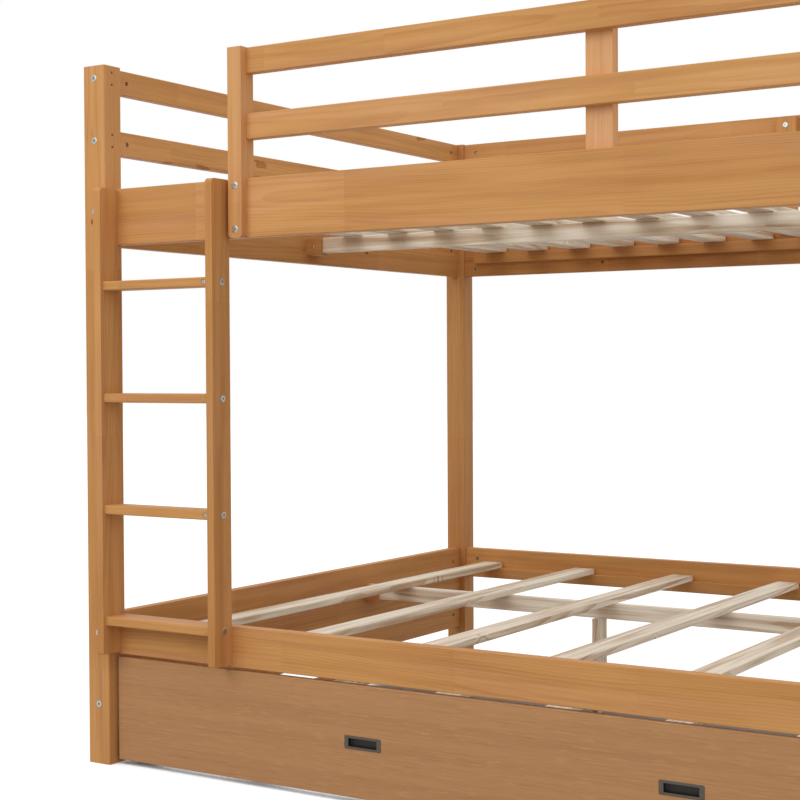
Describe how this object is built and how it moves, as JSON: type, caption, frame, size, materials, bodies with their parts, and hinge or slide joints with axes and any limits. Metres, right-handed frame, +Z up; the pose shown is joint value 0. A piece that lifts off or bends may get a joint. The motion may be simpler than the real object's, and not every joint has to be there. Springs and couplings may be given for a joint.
{
  "type": "bunk bed with trundle",
  "caption": "Wooden bunk bed with upper and lower slatted beds, guard rails, a fixed ladder and a low trundle that rolls out from underneath.",
  "frame": {"origin": "on the floor, under the middle of the whole object's box", "axes": "+Z up, +X along the bed's length, towards the end away from the ladder; the ladder and the trundle's front face -Y"},
  "size_m": [2.136, 1.6744, 1.556],
  "materials": {
    "stained_pine": "honey-brown stain under satin lacquer",
    "trundle_front_board": "straight-grained honey-brown veneer, satin",
    "bare_pine": "unfinished, planed",
    "bolt_steel": "zinc-plated",
    "nut_steel": "zinc-plated",
    "pull_metal": "dark gunmetal, satin",
    "caster_steel": "zinc-plated pressed steel",
    "caster_wheel": "moulded, matte"
  },
  "bodies": {
    "bed_frame": {"barrel_nuts": "nut_steel", "beam_cradles": "stained_pine", "beam_leg_left": "bare_pine", "beam_leg_right": "bare_pine", "end_bolts": "bolt_steel", "face_bolts": "bolt_steel", "gate_upright": "stained_pine", "guard_second_back": "stained_pine", "guard_second_front": "stained_pine", "guard_second_left": "stained_pine", "guard_second_right": "stained_pine", "guard_top_back": "stained_pine", "guard_top_front": "stained_pine", "guard_top_left": "stained_pine", "guard_top_right": "stained_pine", "guard_upright_back": "stained_pine", "guard_upright_front": "stained_pine", "ladder_barrel_nuts": "nut_steel", "ladder_bolts": "bolt_steel", "ladder_rung_1": "stained_pine", "ladder_rung_2": "stained_pine", "ladder_rung_3": "stained_pine", "ladder_rung_4": "stained_pine", "ladder_stile_left": "stained_pine", "ladder_stile_right": "stained_pine", "lower_beam": "bare_pine", "lower_end_board_left": "stained_pine", "lower_end_board_right": "stained_pine", "lower_ledge_back": "stained_pine", "lower_ledge_front": "stained_pine", "lower_rail_back": "stained_pine", "lower_rail_front": "stained_pine", "lower_slats": "bare_pine", "post_back_left": "stained_pine", "post_back_right": "stained_pine", "post_front_left": "stained_pine", "post_front_right": "stained_pine", "upper_beam": "bare_pine", "upper_end_rail_left": "stained_pine", "upper_end_rail_right": "stained_pine", "upper_ledge_back": "stained_pine", "upper_ledge_front": "stained_pine", "upper_rail_back": "stained_pine", "upper_rail_front": "stained_pine", "upper_slats": "bare_pine"},
    "trundle": {"caster_axles": "caster_steel", "caster_plates": "caster_steel", "trundle_back": "stained_pine", "trundle_front": "trundle_front_board", "trundle_ledge_back": "stained_pine", "trundle_ledge_front": "stained_pine", "trundle_pull_left": "pull_metal", "trundle_pull_right": "pull_metal", "trundle_side_left": "stained_pine", "trundle_side_right": "stained_pine", "trundle_slats": "bare_pine"},
    "caster_wheel_back_left": {"caster_wheel_back_left": "caster_wheel"},
    "caster_wheel_back_right": {"caster_wheel_back_right": "caster_wheel"},
    "caster_wheel_front_left": {"caster_wheel_front_left": "caster_wheel"},
    "caster_wheel_front_right": {"caster_wheel_front_right": "caster_wheel"}
  },
  "joints": [
    {"name": "trundle_slide", "type": "slide", "parent": "bed_frame", "child": "trundle", "axis": [0, -1, 0], "range_m": [0, 0.95]},
    {"name": "caster_wheel_back_left_spin", "type": "hinge", "parent": "trundle", "child": "caster_wheel_back_left", "pos_m": [-0.9689, 0.1008, 0.019], "axis": [1, 0, 0], "continuous": true},
    {"name": "caster_wheel_back_right_spin", "type": "hinge", "parent": "trundle", "child": "caster_wheel_back_right", "pos_m": [0.9689, 0.1008, 0.019], "axis": [1, 0, 0], "continuous": true},
    {"name": "caster_wheel_front_left_spin", "type": "hinge", "parent": "trundle", "child": "caster_wheel_front_left", "pos_m": [-0.9689, -0.6342, 0.019], "axis": [1, 0, 0], "continuous": true},
    {"name": "caster_wheel_front_right_spin", "type": "hinge", "parent": "trundle", "child": "caster_wheel_front_right", "pos_m": [0.9689, -0.6342, 0.019], "axis": [1, 0, 0], "continuous": true}
  ],
  "couplings": [
    {"joint": "caster_wheel_back_left_spin", "follows": "trundle_slide", "rad_per_m": 52.632},
    {"joint": "caster_wheel_back_right_spin", "follows": "trundle_slide", "rad_per_m": 52.632},
    {"joint": "caster_wheel_front_left_spin", "follows": "trundle_slide", "rad_per_m": 52.632},
    {"joint": "caster_wheel_front_right_spin", "follows": "trundle_slide", "rad_per_m": 52.632}
  ]
}
